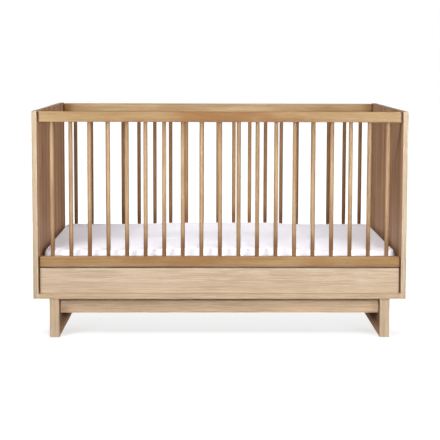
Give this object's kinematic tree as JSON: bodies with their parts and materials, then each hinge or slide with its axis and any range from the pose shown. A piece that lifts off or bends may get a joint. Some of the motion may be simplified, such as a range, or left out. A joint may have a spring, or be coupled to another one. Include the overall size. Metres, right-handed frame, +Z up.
{
  "type": "baby crib",
  "caption": "Baby crib with solid wooden end panels, round spindle sides, a sled base and a mattress on a height-adjustable support.",
  "frame": {"origin": "on the floor under the middle of the crib", "axes": "+X along the length towards the right end panel, -Y to the front, +Z up"},
  "size_m": [1.37, 0.79, 0.836],
  "materials": {
    "oak_veneer": "matte",
    "solid_wood": "matte",
    "slat_wood": "matte",
    "dark_steel": "satin",
    "zinc": "satin",
    "dark_nylon": "matte",
    "mattress_ticking": "matte",
    "white_cotton": "matte"
  },
  "bodies": {
    "crib": {"left_end_panel": "oak_veneer", "right_end_panel": "oak_veneer", "bottom_board": "oak_veneer", "front_top_rail": "solid_wood", "front_bottom_rail": "solid_wood", "front_low_panel": "oak_veneer", "rear_top_rail": "solid_wood", "rear_bottom_rail": "solid_wood", "rear_low_panel": "oak_veneer", "left_leg": "oak_veneer", "right_leg": "oak_veneer", "front_stretcher": "oak_veneer", "rear_stretcher": "oak_veneer", "floor_glides": "dark_nylon", "connector_bolts": "dark_steel", "frame_spacers": "dark_nylon", "height_inserts": "zinc", "support_bolts": "dark_steel", "front_spindle_01": "solid_wood", "front_spindle_02": "solid_wood", "front_spindle_03": "solid_wood", "front_spindle_04": "solid_wood", "front_spindle_05": "solid_wood", "front_spindle_06": "solid_wood", "front_spindle_07": "solid_wood", "front_spindle_08": "solid_wood", "front_spindle_09": "solid_wood", "front_spindle_10": "solid_wood", "front_spindle_11": "solid_wood", "front_spindle_12": "solid_wood", "front_spindle_13": "solid_wood", "front_spindle_14": "solid_wood", "front_spindle_15": "solid_wood", "front_spindle_16": "solid_wood", "front_spindle_17": "solid_wood", "front_spindle_18": "solid_wood", "front_spindle_19": "solid_wood", "rear_spindle_01": "solid_wood", "rear_spindle_02": "solid_wood", "rear_spindle_03": "solid_wood", "rear_spindle_04": "solid_wood", "rear_spindle_05": "solid_wood", "rear_spindle_06": "solid_wood", "rear_spindle_07": "solid_wood", "rear_spindle_08": "solid_wood", "rear_spindle_09": "solid_wood", "rear_spindle_10": "solid_wood", "rear_spindle_11": "solid_wood", "rear_spindle_12": "solid_wood", "rear_spindle_13": "solid_wood", "rear_spindle_14": "solid_wood", "rear_spindle_15": "solid_wood", "rear_spindle_16": "solid_wood", "rear_spindle_17": "solid_wood", "rear_spindle_18": "solid_wood", "rear_spindle_19": "solid_wood"},
    "mattress_support": {"support_frame": "dark_steel", "support_slats": "slat_wood"},
    "mattress": {"mattress": "mattress_ticking", "fitted_sheet": "white_cotton"}
  },
  "joints": [
    {"name": "support_height", "type": "slide", "parent": "crib", "child": "mattress_support", "axis": [0, 0, 1], "range_m": [0, 0.26]},
    {"name": "mattress_lift_out", "type": "slide", "parent": "mattress_support", "child": "mattress", "axis": [0, 0, 1], "range_m": [0, 0.75]}
  ]
}
